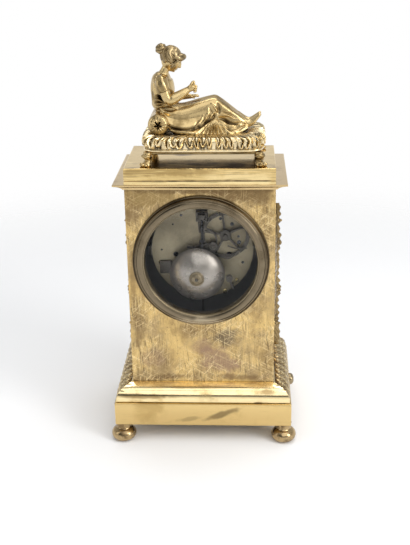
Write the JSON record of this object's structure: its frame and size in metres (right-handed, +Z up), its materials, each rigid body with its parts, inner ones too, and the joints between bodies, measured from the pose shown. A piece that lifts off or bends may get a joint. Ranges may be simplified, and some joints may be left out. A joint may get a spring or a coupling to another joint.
{
  "type": "mantel clock",
  "caption": "Gilt brass mantel clock on ball feet, round glazed rear door over a striking spring movement, enamel dial in front, reclining bronze figure on a daybed on top",
  "frame": {"origin": "centre of the outline at floor level, under the four ball feet", "axes": "+Z is up; the dial faces +Y and the pictured back with its glazed door faces -Y; +X is the figure's feet"},
  "size_m": [0.1692, 0.129, 0.3504],
  "materials": {
    "gilt_brass": "fire gilt, polished, light tarnish and scratches",
    "aged_brass": "turned, browned with age",
    "gilt_bronze": "chased and gilt, dark in the recesses",
    "movement_brass": "dull movement brass",
    "blued_steel": "dark polished steel",
    "bell_metal": "silvered bell bronze, lightly brushed",
    "enamel": "white vitreous enamel",
    "clear_glass": "clear polished flat glass"
  },
  "bodies": {
    "case": {"foot_rear_left": "gilt_brass", "foot_front_left": "gilt_brass", "foot_rear_right": "gilt_brass", "foot_front_right": "gilt_brass", "plinth_slab": "gilt_brass", "plinth_boss_right": "gilt_brass", "base_moulding": "gilt_brass", "rear_panel": "gilt_brass", "front_panel": "gilt_brass", "side_panel_left": "gilt_brass", "side_panel_right": "gilt_brass", "cornice": "gilt_brass", "attic_block": "gilt_brass", "front_hinge": "gilt_brass", "side_mount_left": "gilt_bronze", "side_mount_right": "gilt_bronze", "daybed_frame": "gilt_bronze", "cushion": "gilt_bronze", "bolster": "gilt_bronze", "figure": "gilt_bronze", "back_plate": "movement_brass", "front_plate": "movement_brass", "suspension_cock": "movement_brass", "bell_nut": "movement_brass", "lever_cock": "movement_brass", "dial_foot_1": "movement_brass", "dial_foot_2": "movement_brass", "dial_foot_3": "movement_brass", "dial_foot_4": "movement_brass", "movement_strap_left": "blued_steel", "movement_strap_right": "blued_steel", "bell_stand": "blued_steel", "bell": "bell_metal", "dial": "enamel"},
    "rear_door": {"rear_bezel": "aged_brass", "rear_glass": "clear_glass"},
    "front_door": {"front_bezel": "gilt_brass", "front_glass": "clear_glass"},
    "centre_arbor": {"centre_wheel": "movement_brass", "cannon_pinion": "blued_steel", "minute_hand": "blued_steel"},
    "hour_pipe": {"hour_wheel": "movement_brass", "hour_hand": "blued_steel"},
    "minute_work": {"minute_wheel": "movement_brass"},
    "going_drum": {"going_barrel": "movement_brass"},
    "going_winder": {"going_winding_arbor": "blued_steel"},
    "intermediate_arbor": {"intermediate_wheel": "movement_brass"},
    "third_arbor": {"third_wheel": "movement_brass"},
    "escape_arbor": {"escape_wheel": "movement_brass"},
    "anchor": {"anchor_and_crutch": "blued_steel"},
    "pendulum_swing_body": {"pendulum": "movement_brass"},
    "strike_drum": {"strike_barrel": "movement_brass"},
    "strike_winder": {"strike_winding_arbor": "blued_steel"},
    "second_arbor": {"strike_second_wheel": "movement_brass", "count_wheel": "movement_brass"},
    "pin_arbor": {"pin_wheel": "movement_brass"},
    "locking_arbor": {"locking_wheel": "movement_brass"},
    "fly_arbor": {"strike_fly": "blued_steel"},
    "hammer_arbor": {"hammer": "blued_steel"}
  },
  "joints": [
    {"name": "rear_door_slide", "type": "slide", "parent": "case", "child": "rear_door", "axis": [0, -1, 0], "range_m": [0, 0.025]},
    {"name": "front_door_hinge", "type": "hinge", "parent": "case", "child": "front_door", "pos_m": [-0.0621, 0.0485, 0.172], "axis": [0, 0, 1], "range_deg": [0, 100]},
    {"name": "centre_spin", "type": "hinge", "parent": "case", "child": "centre_arbor", "pos_m": [0, 0, 0.172], "axis": [0, 1, 0], "continuous": true},
    {"name": "hour_spin", "type": "hinge", "parent": "case", "child": "hour_pipe", "pos_m": [0, 0, 0.172], "axis": [0, 1, 0], "continuous": true},
    {"name": "minute_work_spin", "type": "hinge", "parent": "case", "child": "minute_work", "pos_m": [0, 0, 0.156], "axis": [0, 1, 0], "continuous": true},
    {"name": "intermediate_spin", "type": "hinge", "parent": "case", "child": "intermediate_arbor", "pos_m": [-0.01001, 0, 0.18097], "axis": [0, 1, 0], "continuous": true},
    {"name": "going_barrel_spin", "type": "hinge", "parent": "case", "child": "going_drum", "pos_m": [-0.024, 0, 0.16775], "axis": [0, 1, 0], "continuous": true},
    {"name": "third_spin", "type": "hinge", "parent": "case", "child": "third_arbor", "pos_m": [0.0073, 0, 0.18236], "axis": [0, 1, 0], "continuous": true},
    {"name": "escape_spin", "type": "hinge", "parent": "case", "child": "escape_arbor", "pos_m": [0, 0, 0.1915], "axis": [0, 1, 0], "continuous": true},
    {"name": "going_winder_spin", "type": "hinge", "parent": "case", "child": "going_winder", "pos_m": [-0.024, 0, 0.16775], "axis": [0, 1, 0], "continuous": true},
    {"name": "pendulum_swing", "type": "hinge", "parent": "case", "child": "pendulum_swing_body", "pos_m": [0, 0, 0.2025], "axis": [0, 1, 0], "range_deg": [-3, 3]},
    {"name": "anchor_rock", "type": "hinge", "parent": "case", "child": "anchor", "pos_m": [0, 0, 0.2025], "axis": [0, 1, 0], "range_deg": [-3, 3]},
    {"name": "second_spin", "type": "hinge", "parent": "case", "child": "second_arbor", "pos_m": [0.0206, 0, 0.1867], "axis": [0, 1, 0], "continuous": true},
    {"name": "strike_barrel_spin", "type": "hinge", "parent": "case", "child": "strike_drum", "pos_m": [0.024, 0, 0.16775], "axis": [0, 1, 0], "continuous": true},
    {"name": "pin_spin", "type": "hinge", "parent": "case", "child": "pin_arbor", "pos_m": [0.0168, 0, 0.19713], "axis": [0, 1, 0], "continuous": true},
    {"name": "locking_spin", "type": "hinge", "parent": "case", "child": "locking_arbor", "pos_m": [0.00956, 0, 0.2032], "axis": [0, 1, 0], "continuous": true},
    {"name": "fly_spin", "type": "hinge", "parent": "case", "child": "fly_arbor", "pos_m": [0.00811, 0, 0.21148], "axis": [0, 1, 0], "continuous": true},
    {"name": "strike_winder_spin", "type": "hinge", "parent": "case", "child": "strike_winder", "pos_m": [0.024, 0, 0.16775], "axis": [0, 1, 0], "continuous": true},
    {"name": "hammer_swing", "type": "hinge", "parent": "case", "child": "hammer_arbor", "pos_m": [0.027, 0, 0.14], "axis": [0, 1, 0], "range_deg": [0, 14]}
  ],
  "couplings": [
    {"joint": "intermediate_spin", "follows": "centre_spin", "ratio": -0.16667},
    {"joint": "going_barrel_spin", "follows": "centre_spin", "ratio": 0.027778},
    {"joint": "third_spin", "follows": "centre_spin", "ratio": -12},
    {"joint": "escape_spin", "follows": "centre_spin", "ratio": 132},
    {"joint": "minute_work_spin", "follows": "centre_spin", "ratio": -0.33333},
    {"joint": "hour_spin", "follows": "centre_spin", "ratio": 0.083333},
    {"joint": "anchor_rock", "follows": "pendulum_swing", "ratio": 1},
    {"joint": "strike_barrel_spin", "follows": "second_spin", "ratio": -0.16667},
    {"joint": "pin_spin", "follows": "second_spin", "ratio": -9},
    {"joint": "locking_spin", "follows": "second_spin", "ratio": 54},
    {"joint": "fly_spin", "follows": "second_spin", "ratio": -324}
  ]
}
